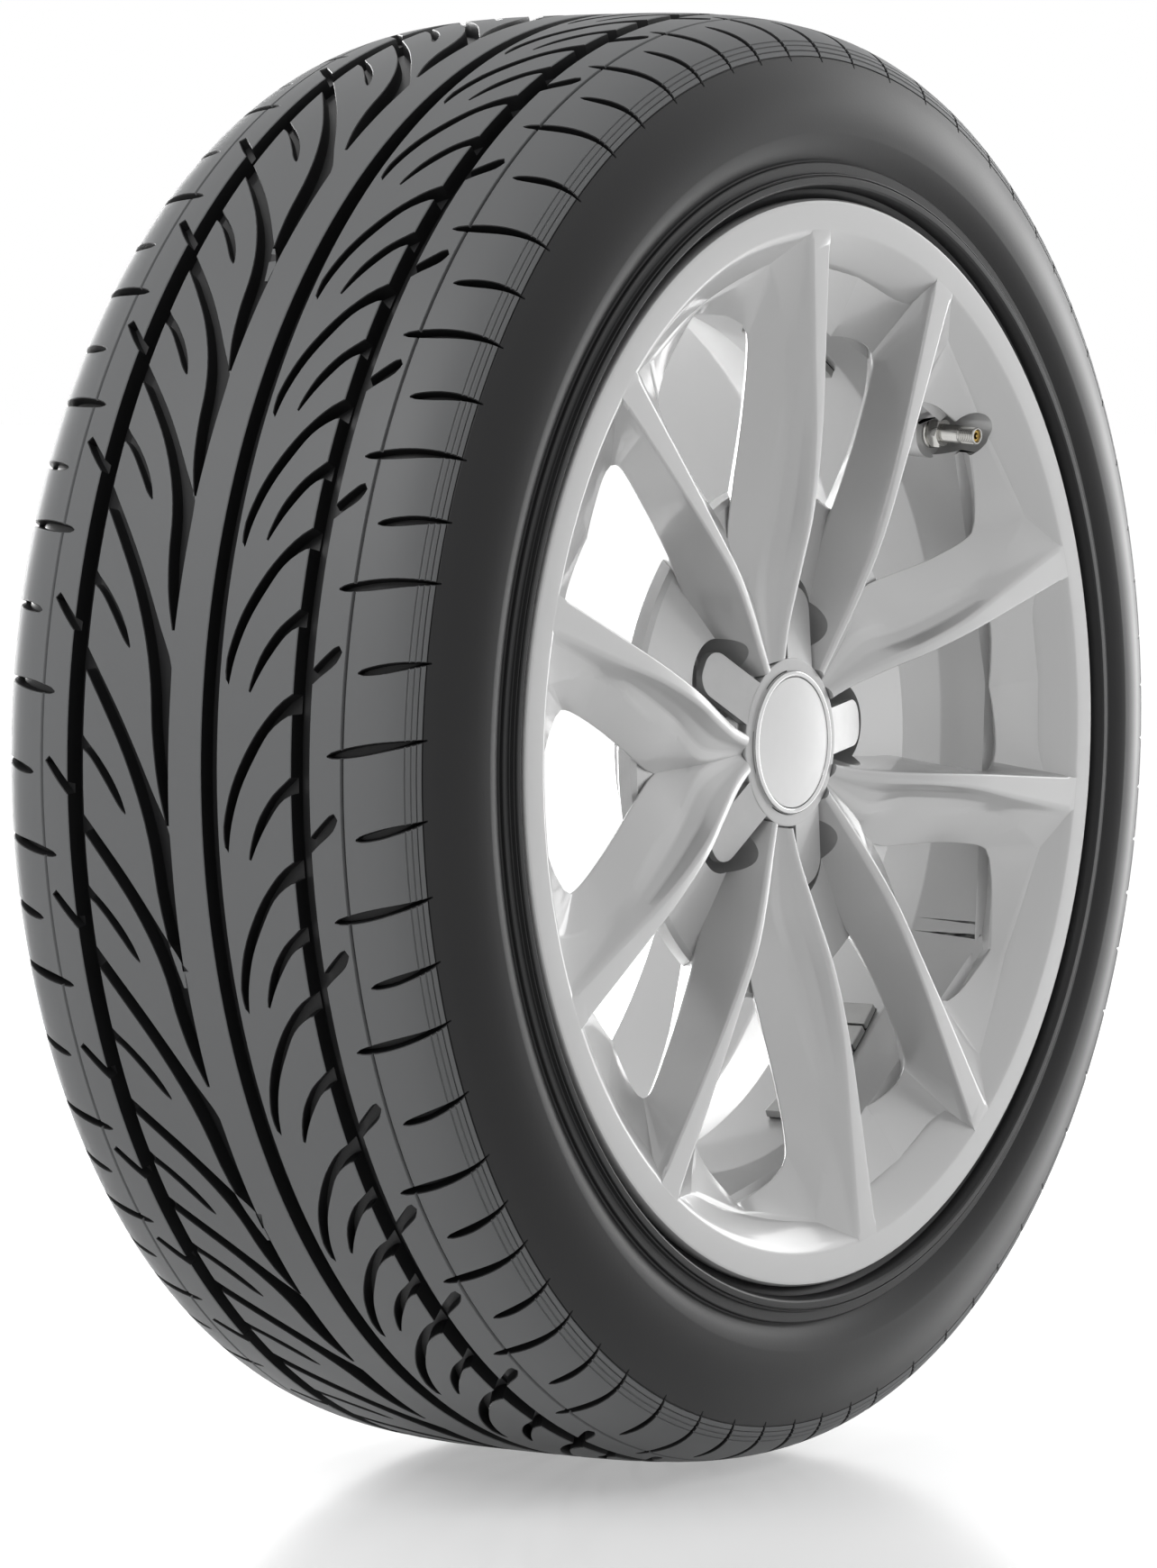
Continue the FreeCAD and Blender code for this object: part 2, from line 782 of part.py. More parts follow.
def balance_weights(start, direction, count):
    """A strip of stick-on weights inside the rim, joined by thin links."""
    outside = well_inner_radius - tape_gap - tape_thickness
    inside = outside - weight_height
    step = weight_step()
    total = step * count - math.degrees(weight_gap / outside)
    strip = ring(inside, outside, weight_edge, weight_edge + weight_width, total)
    notch = Part.makeBox(weight_height, weight_width + 2.0, weight_gap,
                         Vector(inside - weight_link, weight_edge - 1.0, 0))
    notches = []
    for number in range(1, count):
        notches.append(at_angle(notch, number * step - total - math.degrees(weight_gap / outside)))
    strip = strip.cut(Part.makeCompound(notches))
    return at_angle(strip, start + (total if direction > 0 else 0.0))


def weight_tape(start, direction, count):
    """The tape that holds a strip of weights."""
    outside = well_inner_radius - tape_gap
    total = weight_step() * count - math.degrees(weight_gap / outside)
    tape = ring(outside - tape_thickness, outside, weight_edge + tape_inset,
                weight_edge + weight_width - tape_inset, total)
    return at_angle(tape, start + (total if direction > 0 else 0.0))


pieces = {
    "tyre": tyre(),
    "alloy_wheel": alloy_wheel(),
    "hub_cover": hub_cover(),
    "cover_trim_ring": cover_trim_ring(),
    "cover_disc": cover_disc(),
    "cover_disc_pad": cover_disc_pad(),
    "cover_clip_ring": cover_clip_ring(),
    "valve_stem": valve_stem(),
    "valve_seal": valve_seal(),
    "valve_washer": valve_washer(),
    "valve_nut": valve_nut(),
    "valve_core_plug": valve_core_plug(),
    "valve_core_gasket": valve_core_gasket(),
    "valve_core_barrel": valve_core_barrel(),
    "valve_core_pin": valve_core_pin(),
    "valve_core_cup": valve_core_cup(),
    "valve_core_spring": valve_core_spring(),
}
for name, (start, direction, count) in weight_strips.items():
    pieces["balance_weights_" + name] = balance_weights(start, direction, count)
    pieces["weight_tape_" + name] = weight_tape(start, direction, count)

os.makedirs("parts", exist_ok=True)
for name, shape in pieces.items():
    shape.exportStep("parts/" + name + ".step")
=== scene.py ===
import bmesh
import bpy
import itertools
import math
from mathutils import Matrix, Vector
from mathutils.geometry import interpolate_bezier


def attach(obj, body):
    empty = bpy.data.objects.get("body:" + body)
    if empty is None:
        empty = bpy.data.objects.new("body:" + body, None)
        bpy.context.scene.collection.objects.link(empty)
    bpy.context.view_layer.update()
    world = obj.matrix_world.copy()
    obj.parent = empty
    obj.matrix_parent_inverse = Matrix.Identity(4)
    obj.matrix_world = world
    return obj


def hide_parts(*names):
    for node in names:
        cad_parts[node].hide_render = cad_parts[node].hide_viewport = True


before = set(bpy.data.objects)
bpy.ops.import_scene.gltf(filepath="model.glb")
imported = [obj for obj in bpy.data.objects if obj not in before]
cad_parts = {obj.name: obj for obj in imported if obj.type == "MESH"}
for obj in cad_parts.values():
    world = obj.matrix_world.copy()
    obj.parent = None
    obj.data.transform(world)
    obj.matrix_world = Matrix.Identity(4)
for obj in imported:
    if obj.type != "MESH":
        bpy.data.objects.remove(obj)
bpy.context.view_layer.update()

# Tyre: a moulded rubber road tyre with a directional tread, shown on its rim. Lengths are in millimetres.
# The carcass is one turned section with the ring grooves in it, and the slots are cut out afterwards.
# A place on the tread is given by its way round, its way over the surface from the middle, and its height.
tyre_radius = 317.15
tread_half_width = 104.1
tread_base = 283.5
tread_rise = 33.65
tread_power = 3.458
flat_end = 103
ground = -316.7
mm_per_degree = math.radians(tyre_radius)


def tread_radius(y):
    """The radius of the flatter tread at a distance from the middle plane."""
    share = 1.0 - (y / tread_half_width) ** tread_power
    return tread_base + tread_rise * share ** (1 / tread_power)


tread_table = [(tread_radius(y), float(y)) for y in range(flat_end + 1)]
shoulder_end = Vector((*tread_table[-1], 0))
sidewall_top = Vector((263.0, 113.2, 0))
shoulder_pull = shoulder_end + Vector((-11.5, 3.4, 0))
sidewall_pull = sidewall_top + Vector((14, 0, 0))
for point in interpolate_bezier(shoulder_end, shoulder_pull, sidewall_pull, sidewall_top, 24)[1:]:
    tread_table.append((point.x, point.y))
tread_arc = [0.0]
for near, far in zip(tread_table, tread_table[1:]):
    tread_arc.append(tread_arc[-1] + math.dist(near, far))


def across_at(y):
    """The distance over the surface from the middle line to the place at y on the flatter tread."""
    place = min(int(y), len(tread_arc) - 2)
    return tread_arc[place] + (y - place) * (tread_arc[place + 1] - tread_arc[place])


def tread_section(across, height):
    """The (radius, y) of a place on the tread's section."""
    distance = min(abs(across), tread_arc[-1] - 0.001)
    index = 0
    while tread_arc[index + 1] < distance:
        index += 1
    near, far = tread_table[index], tread_table[index + 1]
    span = tread_arc[index + 1] - tread_arc[index]
    share = (distance - tread_arc[index]) / span
    slope_r, slope_y = (far[0] - near[0]) / span, (far[1] - near[1]) / span
    radius = near[0] + slope_r * share * span + slope_y * height
    y = near[1] + slope_y * share * span - slope_r * height
    return radius, math.copysign(y, across)


def on_wheel(radius, y, degrees):
    """A point at a radius, a place along the spin axis and an angle from +X towards +Z."""
    angle = math.radians(degrees)
    return Vector((radius * math.cos(angle), y, radius * math.sin(angle)))


def smooth_path(points, count):
    """Evenly spaced points on a smooth curve through a few points."""
    path = [Vector(point) for point in points]
    lengths = [0.0]
    for near, far in zip(path, path[1:]):
        lengths.append(lengths[-1] + (far - near).length)
    result = []
    for step in range(count):
        distance = lengths[-1] * step / (count - 1)
        index = 0
        while index < len(path) - 2 and lengths[index + 1] < distance:
            index += 1
        share = (distance - lengths[index]) / (lengths[index + 1] - lengths[index])
        before = path[max(index - 1, 0)]
        near, far = path[index], path[index + 1]
        after = path[min(index + 2, len(path) - 1)]
        pull_near, pull_far = (far - before) / 2, (after - near) / 2
        square, cube = share ** 2, share ** 3
        point = near * (2 * cube - 3 * square + 1) + pull_near * (cube - 2 * square + share)
        result.append(point + far * (3 * square - 2 * cube) + pull_far * (cube - square))
    return result


def ring_of(bm, verts):
    """The edges that join the vertices into a closed ring."""
    return [bm.edges.new((verts[place - 1], verts[place])) for place in range(len(verts))]


def cap(bm, loop):
    """Faces across a loop whose second half runs back beside its first half."""
    for place in range(len(loop) // 2 - 1):
        bm.faces.new((loop[place], loop[place + 1], loop[-place - 2], loop[-place - 1]))


def spun(outline, steps):
    """A closed (radius, y) outline turned once round the spin axis."""
    bm = bmesh.new()
    verts = [bm.verts.new((radius, y, 0)) for radius, y in outline]
    edges = ring_of(bm, verts)
    bmesh.ops.spin(bm, geom=verts + edges, cent=(0, 0, 0), axis=(0, 1, 0), angle=math.tau, steps=steps,
                   use_merge=True)
    bmesh.ops.remove_doubles(bm, verts=bm.verts, dist=0.001)
    bmesh.ops.dissolve_degenerate(bm, edges=bm.edges, dist=0.0005)
    bmesh.ops.recalc_face_normals(bm, faces=bm.faces)
    return bm


def as_object(bm, name):
    """A new object that holds this mesh."""
    mesh = bpy.data.meshes.new(name)
    bm.to_mesh(mesh)
    bm.free()
    piece = bpy.data.objects.new(name, mesh)
    bpy.context.scene.collection.objects.link(piece)
    return piece


source_numbers = itertools.count(1)


def combined(body, other, operation):
    """The mesh of one object joined with, or cut by, another. Both objects are used up.

    The face attribute "source" keeps the faces of the two apart, so that their meeting line stays sharp.
    """
    for used in (body, other):
        if "source" not in used.data.attributes:
            number = next(source_numbers)
            source = used.data.attributes.new("source", "INT", "FACE")
            source.data.foreach_set("value", [number] * len(used.data.polygons))
    modifier = body.modifiers.new("combine", "BOOLEAN")
    modifier.operation = operation
    modifier.solver = "MANIFOLD"
    modifier.object = other
    bpy.context.view_layer.update()
    shown = body.evaluated_get(bpy.context.evaluated_depsgraph_get())
    mesh = bpy.data.meshes.new_from_object(shown)
    bm = bmesh.new()
    bm.from_mesh(mesh)
    for used in (body, other):
        old = used.data
        bpy.data.objects.remove(used)
        bpy.data.meshes.remove(old)
    bpy.data.meshes.remove(mesh)
    return bm


def finished(bm, name, material, sharp_degrees, body, node):
    """The piece in metres, smooth but for its sharp edges, riding on a body in place of its solid."""
    bmesh.ops.scale(bm, vec=(0.001, 0.001, 0.001), verts=bm.verts)
    source = bm.faces.layers.int.get("source") or bm.faces.layers.int.new("source")
    for face in bm.faces:
        face.smooth = True
    for edge in bm.edges:
        meeting = len({face[source] for face in edge.link_faces}) > 1
        edge.smooth = not meeting and edge.calc_face_angle(0.0) < math.radians(sharp_degrees)
    piece = as_object(bm, name)
    piece.data.materials.append(material)
    shading = piece.modifiers.new("flat faces stay flat", "WEIGHTED_NORMAL")
    shading.keep_sharp = True
    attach(piece, body)
    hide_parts(node)
    return piece


edge_chamfer = 0.35


def groove(start, end, depth, draft):
    """The stations of a ring groove: its two edges with a small chamfer, and its floor."""
    edge = min(edge_chamfer, depth / 3)
    return [(start - edge, 0.0), (start, -edge), (start + draft, -depth),
            (end - draft, -depth), (end, -edge), (end + edge, 0.0)]


rib_edge, rib_end = across_at(8.2), across_at(16.2)
main_edges = (across_at(52.3), across_at(60.9))
edge_line = across_at(75.5)
buttress_lines = [across_at(y) for y in (99.0, 100.6, 101.9, 102.9)]
station_gap = 3.0
stations = {-1: groove(rib_edge, rib_end, 7.5, 0.6), 1: []}
for side in (-1, 1):
    stations[side] += groove(*main_edges, 8.0, 0.8)
    stations[side] += groove(edge_line - 0.55, edge_line + 0.55, 1.2, 0.3)
    for line in buttress_lines:
        stations[side] += groove(line - 0.3, line + 0.3, 0.5, 0.15)
    taken = [across for across, height in stations[side]]
    across = station_gap
    while across < tread_arc[-1]:
        clear = all(abs(across - other) > station_gap / 2 for other in taken)
        in_groove = main_edges[0] < across < main_edges[1] or (side < 0 and rib_edge < across < rib_end)
        if clear and not in_groove:
            stations[side].append((across, 0.0))
        across += station_gap
    stations[side].sort()
bead_and_liner = [
    (263.0, 113.2), (260.0, 112.8), (257.0, 111.8), (254.5, 110.5), (252.8, 109.4), (252.0, 109.1),
    (251.4, 109.5), (251.0, 110.7), (250.6, 111.0), (246.9, 111.0), (246.5, 111.3), (246.1, 112.8),
    (245.7, 112.95), (245.4, 112.5), (245.1, 112.5), (244.8, 113.5), (244.4, 113.7), (242.2, 113.7),
    (241.4, 113.2), (240.4, 111.0), (239.6, 107.8), (238.4, 106.9), (236.0, 106.1), (231.1, 101.45),
    (224.3, 101.45), (218.5, 95.6), (217.6, 84.1), (221.5, 83.6), (244.5, 95.6), (263.0, 104.7),
    (284.0, 102.7), (294.7, 86.0), (300.7, 50.0),
]
tyre_outline = [(radius, -y) for radius, y in reversed(bead_and_liner)]
tyre_outline += [tread_section(-across, height) for across, height in reversed(stations[-1])]
tyre_outline += [tread_section(across, height) for across, height in stations[1]]
tyre_outline += bead_and_liner
carcass = spun(tyre_outline, 240)

pitch_letters = "LMMMLLMLSSMLMSSLMMLLMSSMLMSMLLMSSM"
pitch_lengths = {"L": 12.2, "M": 10.1, "S": 9.1}
pitch_scale = 360.0 / sum(pitch_lengths[letter] for letter in pitch_letters)
pitch_starts = [123.3]
for letter in pitch_letters[:-1]:
    pitch_starts.append(pitch_starts[-1] + pitch_lengths[letter] * pitch_scale)


cutter_top, slot_flare, slot_draft, draft_limit = 0.7, 1.0, 0.45, 0.22


def add_slot(bm, degrees, side, shore, other_shore, depth):
    """A slot cutter between two lines of (across, along): flared at the top, drafted towards its floor."""
    outline = shore + other_shore[::-1]
    widths = [(near - far).length for near, far in zip(shore, other_shore)]
    widths += widths[::-1]
    turn = 0.0
    for near, far in zip(outline, outline[1:] + outline[:1]):
        turn += near.x * far.y - far.x * near.y
    outward = math.copysign(1.0, turn)
    loops = []
    for height, spread in ((cutter_top, slot_flare), (-edge_chamfer, 0.0), (-depth, -slot_draft)):
        loop = []
        for place, point in enumerate(outline):
            along_edge = (outline[(place + 1) % len(outline)] - outline[place - 1]).normalized()
            shift = max(spread, -draft_limit * widths[place])
            moved = point + Vector((along_edge.y, -along_edge.x)) * shift * outward
            radius, y = tread_section(side * moved.x, height)
            loop.append(bm.verts.new(on_wheel(radius, y, degrees + moved.y / mm_per_degree)))
        loops.append(loop)
    rings = [ring_of(bm, loop) for loop in loops]
    bmesh.ops.bridge_loops(bm, edges=rings[0] + rings[1])
    bmesh.ops.bridge_loops(bm, edges=rings[1] + rings[2])
    cap(bm, loops[0])
    cap(bm, loops[2])


def surface(points, stretch):
    """Places given by y and along, with y turned into the distance over the surface."""
    return [(math.copysign(across_at(abs(y)), y), along * stretch) for y, along in points]


lens_tip, lens_swell = 0.12, 0.68


def lens(points, width, count):
    """The two shores of a slot that swells from a pointed start to its width and closes again."""
    line = smooth_path(points, count)
    shores = ([], [])
    for place, point in enumerate(line):
        share = place / (count - 1)
        near, far = line[max(place - 1, 0)], line[min(place + 1, count - 1)]
        along_line = (far - near).normalized()
        half = lens_tip + width / 2 * math.sin(math.pi * share ** lens_swell)
        offset = Vector((-along_line.y, along_line.x)) * half
        shores[0].append(point + offset)
        shores[1].append(point - offset)
    return shores


# Each slot of the middle tread has its side, its lead in degrees, its share of the pitch, the points on a
# shore, its depth, whether it stretches with the pitch, and its two shores as (y, along).
blind_lead, flowing_lead = -4.4, -6.5
drawn_pitch = 12.1
middle_slots = (
    (-1, blind_lead, 0.0, 20, 6.8, False,
     [(57, -5), (53.9, -1), (45.1, 5.5), (34.3, 18.5), (24.5, 36.5), (19.4, 54), (19.6, 63)],
     [(57.5, 9.5), (52, 8.2), (42.2, 15), (34.3, 27), (27.5, 40), (22.8, 54), (20.8, 65)]),
    (-1, blind_lead, 0.5, 14, 5.5, False,
     [(57.5, -5), (51, 1), (43.2, 8), (36.3, 18), (32.4, 28), (31.2, 33.6)],
     [(57.5, 7.5), (53, 6.6), (47.1, 10), (40.2, 19), (35.3, 27), (31.7, 34)]),
    (-1, blind_lead, 0.0, 10, 4.5, False,
     [(58.2, -7), (63.2, -12.6), (69.7, -19), (71.6, -19.9)],
     [(58.2, -1.5), (63.4, -6.6), (70.6, -12.8), (73, -17.6)]),
    (1, flowing_lead, 0.0, 26, 6.8, True,
     [(56, 1), (52.4, 4), (40.2, 22), (30.4, 39), (22.6, 58), (18.2, 76), (16.2, 96), (13.4, 116),
      (9.4, 133)],
     [(56, -9), (51, -3), (35.3, 19), (24.5, 37), (15.7, 54), (9.4, 66.5), (8.3, 74), (8.3, 100),
      (8.6, 133)]),
    (1, flowing_lead, 0.5, 14, 4.5, False,
     [(54, -5), (51, -1), (44.1, 5.8), (37.3, 14.2), (32.6, 22.4), (30.4, 28.4)],
     [(54, 2), (50, 4.4), (45, 9.8), (38.8, 18.2), (33.4, 26), (30.3, 29)]),
    (1, flowing_lead, 0.0, 10, 4.5, False,
     [(57.8, -14), (60.8, -17), (66, -22.4), (70.8, -27.4)],
     [(57.8, -8.6), (61, -12), (66.8, -18), (73, -25.4)]),
)
# Each slot of the shoulder has its share of the pitch, its points, width and depth, and its middle line.
shoulder_out = across_at(103.0) + 2.0
shoulder_slots = (
    (0.0, 16, 3.9, 4.6,
     [(across_at(69.0), 0.4), (across_at(80), -1.6), (across_at(92), -4.0), (shoulder_out, -7.2)]),
    (0.5, 13, 3.4, 4.2,
     [(across_at(80.8), 0.3), (across_at(89), -1.6), (across_at(97), -3.8), (shoulder_out, -6.4)]),
)
shoulder_shifts = ((-1, 0.0), (1, -4.05))
cutters = bmesh.new()
for degrees, letter in zip(pitch_starts, pitch_letters):
    pitch = pitch_lengths[letter] * pitch_scale
    for side, lead, share, count, depth, stretches, *shores in middle_slots:
        stretch = pitch / drawn_pitch if stretches else 1.0
        paths = [smooth_path(surface(shore, stretch), count) for shore in shores]
        add_slot(cutters, degrees + lead + pitch * share, side, *paths, depth)
    for side, shift in shoulder_shifts:
        for share, count, width, depth, line in shoulder_slots:
            add_slot(cutters, degrees + pitch * share + shift, side, *lens(line, width, count), depth)
bmesh.ops.recalc_face_normals(cutters, faces=cutters.faces)
tyre = combined(as_object(carcass, "carcass"), as_object(cutters, "slots"), "DIFFERENCE")
for vert in tyre.verts:
    vert.co.z = max(vert.co.z, ground)


def linear(hex_colour):
    """An sRGB hex colour as linear red, green, blue and full alpha."""
    result = []
    for place in (1, 3, 5):
        value = int(hex_colour[place:place + 2], 16) / 255
        result.append(value / 12.92 if value <= 0.04045 else ((value + 0.055) / 1.055) ** 2.4)
    return (*result, 1.0)


def add_node(tree, kind, inputs, **settings):
    """A node with its settings, and with each input set to a value or linked to a socket."""
    node = tree.nodes.new(kind)
    for name, value in settings.items():
        setattr(node, name, value)
    for name, value in inputs.items():
        if isinstance(value, bpy.types.NodeSocket):
            tree.links.new(value, node.inputs[name])
        else:
            node.inputs[name].default_value = value
    return node


def empty_material(name):
    """A new material with no nodes in it yet."""
    material = bpy.data.materials.new(name)
    material.use_nodes = True
    material.node_tree.nodes.clear()
    return material


def noise(tree, size, detail):
    """Noise on the object's own coordinates, in patches of a size in millimetres."""
    place = add_node(tree, "ShaderNodeTexCoord", {})
    inputs = {"Vector": place.outputs["Object"], "Scale": 1000 / size, "Detail": detail}
    return add_node(tree, "ShaderNodeTexNoise", inputs).outputs["Fac"]


# Tyre rubber: the tread top is painted a lighter grey than rubber, partly for its dull silica compound and
# partly as painted light where the lamps fall on it. The sidewall's carbon black compound is darker with a
# soft sheen, and the same dark rubber lies on the groove walls and floors as painted shade. A fine grain from
# the mould breaks up the light on both.
mould_grain, sheen_patch = 1.11, 71.4
lit_and_shaded_rubbers = []
for name, colour, low_rough, high_rough in (
    ("tread rubber with painted light", "#777879", 0.46, 0.58),
    ("dark rubber with painted groove shade", "#1e1e1f", 0.36, 0.46),
):
    rubber = empty_material(name)
    tree = rubber.node_tree
    bump = add_node(tree, "ShaderNodeBump", {
        "Strength": 0.12, "Distance": 0.0002, "Height": noise(tree, mould_grain, 3.0)})
    rough = add_node(tree, "ShaderNodeMapRange", {
        "Value": noise(tree, sheen_patch, 4.0), "To Min": low_rough, "To Max": high_rough})
    skin = add_node(tree, "ShaderNodeBsdfPrincipled", {
        "Base Color": linear(colour), "Roughness": rough.outputs["Result"], "Specular IOR Level": 0.3,
        "Normal": bump.outputs["Normal"]})
    add_node(tree, "ShaderNodeOutputMaterial", {"Surface": skin.outputs["BSDF"]})
    lit_and_shaded_rubbers.append(rubber)
tyre_piece = finished(tyre, "tyre", lit_and_shaded_rubbers[0], 28, "wheel", "tyre")
tyre_piece.data.materials.append(lit_and_shaded_rubbers[1])
source = tyre_piece.data.attributes["source"].data
carcass_source = source[0].value
land_limit = 102.8
# The dark rubber goes on the faces past the tread's edge, and as painted shade on the walls and floors of the
# ring grooves and slots.
for face in tyre_piece.data.polygons:
    centre = face.center * 1000
    width = min(abs(centre.y), float(flat_end))
    groove_painted_shade = tread_radius(width) - math.hypot(centre.x, centre.z) > 1.0 and abs(centre.z - ground) > 0.1
    if width > land_limit or groove_painted_shade or source[face.index].value != carcass_source:
        face.material_index = 1

# Cast wheel: low-pressure cast aluminium, machined where it seats and sprayed with silver lacquer.
# The rim is turned, each pair of spokes is drawn along its ridges, and hub and pockets are joined and cut.
rim_outline = [
    (222.5, -111.3), (233.2, -111.3), (234.6, -110.9), (235.4, -109.9), (235.6, -108.6),
    (235.6, -106.2), (234.3, -103.0), (231.0, -101.6), (224.3, -101.6), (220.0, -99.8), (218.3, -95.6),
    (217.0, -80.0), (218.1, -78.2), (218.5, -77.0), (218.1, -75.8), (217.0, -74.0), (198.5, -62.2),
    (197.0, -60.0), (197.0, -15.0), (198.2, -12.5), (211.5, 20.5), (213.4, 23.5), (217.0, 74.0),
    (218.1, 75.8), (218.5, 77.0), (218.1, 78.2), (217.0, 80.0), (218.3, 95.6), (220.0, 99.8),
    (224.3, 101.6), (231.0, 101.6), (234.3, 103.0), (235.6, 106.2), (235.4, 107.8), (234.2, 108.6),
    (226.5, 108.6), (225.0, 108.2), (212.0, 96.5), (210.8, 94.5), (206.0, 24.5), (204.5, 20.0),
    (191.5, -11.5), (190.0, -14.5), (190.0, -56.0), (190.4, -57.6), (205.5, -96.5), (206.8, -99.2),
    (208.6, -101.4), (215.8, -107.0), (217.6, -108.4), (220.6, -110.8),
]
casting = as_object(spun(rim_outline, 180), "rim")

# Each ridge of half a pair of spokes runs from the hub to the window's corner, and its flare runs on from
# there beside the rim. A point is (way out from the axis, way aside from the pair's middle, y).
spoke_runs = {
    "arm edge": [
        (34, 7.2, -94.2), (50, 13.2, -97.2), (72, 23.4, -103), (95, 35.2, -108.3), (125, 50.8, -110.8),
        (160, 68.4, -111.2), (188, 82.4, -111.25), (207.5, 92.2, -111.25),
    ],
    "land edge": [
        (34, 3.6, -94.2), (50, 8.8, -97.2), (72, 18.6, -103), (95, 29.6, -108.3), (125, 43.4, -110.8),
        (160, 57, -111.2), (205, 74.8, -111.25), (211, 77.2, -111.25),
    ],
    "crest": [
        (34, -0.6, -90.6), (50, 0.2, -91), (72, 2.6, -91.6), (90, 14.5, -92.8), (106, 23.5, -95.8),
        (140, 41.5, -100.8), (175, 58.5, -106), (200, 69, -108.6), (209, 72.5, -109.8),
    ],
    "facet edge": [
        (34, -3, -88), (50, -3, -88), (72, -1, -88.6), (90, 9.5, -90.4), (106, 20, -94),
        (130, 33, -98), (150, 44.5, -100.6), (164, 50.5, -101.6), (184.6, 53, -102), (197, 53, -102.1),
        (202, 52, -102),
    ],
    "window edge": [
        (34, -6, -82), (76, -6, -82), (100, 0.5, -84.5), (109, 4.5, -85.5), (121, 11.5, -86.5),
        (141, 23, -88.5), (160, 32.3, -90.4), (171, 36.8, -91.2), (176.5, 38, -91.5),
    ],
    "back inner": [
        (34, -4, -62), (76, 4, -68), (100, 13, -75), (121, 24.5, -78.5), (141, 36.5, -80.5),
        (160, 45.5, -82.4), (170, 49.5, -83), (178, 50.5, -83.4),
    ],
    "back outer": [
        (34, 8, -62), (76, 24, -66), (106, 36, -73), (134, 45, -77), (150, 52, -78.5),
        (160, 57, -79.2), (168, 63.5, -80), (173.5, 71, -80.5), (175.5, 78, -80.8),
    ],
    "arm foot": [
        (34, 11.5, -82), (56, 23.5, -82), (76, 33.6, -82.6), (92, 42, -84.4), (106, 47.4, -86),
        (120, 53, -87), (134.5, 59.2, -88), (146.6, 63.9, -88), (158, 69, -88.3), (164, 73, -88.6),
        (166.3, 78, -88.8),
    ],
}
spoke_flares = {
    "arm edge": [
        (210.5, 93.7, -111.1),
    ],
    "land edge": [
        (214.5, 78.6, -111.1),
    ],
    "crest": [
        (216, 68, -109.5), (221, 52, -108.5), (225, 32, -108), (227.5, 10, -108), (227.8, -6, -108),
    ],
    "facet root": [
        (209, 55.5, -104), (213, 47, -103.5), (215, 35, -103), (216.5, 20, -102.5), (217, 3, -102),
        (217, -6, -102),
    ],
    "facet edge": [
        (202.6, 44, -101.3), (203.3, 33, -100.3), (204.2, 20, -99.2), (205, 3.4, -98.2),
        (205, -6, -97.8),
    ],
    "window edge": [
        (180.5, 36.3, -91.7), (184, 32.8, -91.9), (189.5, 25.6, -92.1), (195, 14.5, -92.4),
        (200.8, 1.5, -92.8), (203.5, -6, -93),
    ],
    "back inner": [
        (184, 48.5, -83.6), (189, 44, -83.8), (194.5, 35, -84), (199.5, 21, -84.3), (203, 6, -84.6),
        (204.5, -6, -84.8),
    ],
    "back outer": [
        (174.5, 86, -81), (170.5, 94.5, -81), (163.5, 104.5, -81), (157, 112, -81), (149, 121, -81),
    ],
    "arm foot": [
        (165, 83.5, -89), (160.5, 90.5, -89), (152.5, 99.5, -88.7), (146, 105.5, -88.3),
        (138, 112, -88),
    ],
    "arm bead": [
        (191, 89.4, -102), (182.5, 92.3, -98.5), (174.2, 96.1, -96), (159.5, 103, -92.5),
        (148, 109, -90.7), (140, 113, -89.8),
    ],
    "arm root": [
        (201, 97, -106.5), (196, 104, -104.5), (189, 112, -103.5), (181, 121, -103), (172, 131, -103),
        (166, 138.5, -103),
    ],
}
straight_end = 160.0
straight_steps = 20
corner_steps = 8
flare_steps = 10


def run_points(name):
    """Points along a ridge from the hub to the window's corner: level with the others, then spread evenly."""
    fine = smooth_path(spoke_runs[name], 600)
    start = fine[0].x
    result = []
    for step in range(straight_steps):
        level = start + (straight_end - start) * step / straight_steps
        result.append(min(fine, key=lambda point: abs(point.x - level)))
    first = min(place for place, point in enumerate(fine) if point.x >= straight_end)
    for step in range(corner_steps + 1):
        result.append(fine[first + round((len(fine) - 1 - first) * step / corner_steps)])
    return result


def between(ridge, other, share):
    """Points on the straight lines from one ridge to another."""
    return [near.lerp(far, share) for near, far in zip(ridge, other)]


runs = {name: run_points(name) for name in spoke_runs}
runs["facet root"] = between(runs["crest"], runs["facet edge"], 0.5)
runs["arm root"] = between(runs["arm edge"], runs["arm foot"], 0.08)
runs["arm bead"] = between(runs["arm edge"], runs["arm foot"], 0.16)
ridges = {}
for name, run in runs.items():
    ridges[name] = run + smooth_path([run[-1]] + spoke_flares[name], flare_steps + 1)[1:]
scoop_depths = smooth_path([
    (34, 0.3), (50, 1.2), (72, 2.2), (95, 2.6), (125, 1.8), (150, 0.3), (165, 0.0), (240, 0.0)], 400)
for name, share in (("scoop top", 0.4), ("scoop foot", 0.75)):
    ridges[name] = between(ridges["land edge"], ridges["crest"], share)
    for point, land, crest in zip(ridges[name], ridges["land edge"], ridges["crest"]):
        slope = Vector((crest.y - land.y, crest.z - land.z)).normalized()
        depth = min(scoop_depths, key=lambda place: abs(place.x - land.x)).y
        point += Vector((0, slope.y, -slope.x)) * depth
section = (
    "arm edge", "land edge", "scoop top", "scoop foot", "crest", "facet root", "facet edge", "window edge",
    "back inner", "back outer", "arm foot", "arm bead", "arm root",
)
pair = bmesh.new()
rows = []
loops = []
for points in zip(*(ridges[name] for name in section)):
    verts = [pair.verts.new((point.x, point.z, point.y)) for point in points]
    loops.append(ring_of(pair, verts))
    rows.append(dict(zip(section, verts)))
cross_edges = set(sum(loops, []))
for near, far in zip(loops, loops[1:]):
    bmesh.ops.bridge_loops(pair, edges=near + far)
bmesh.ops.recalc_face_normals(pair, faces=pair.faces)

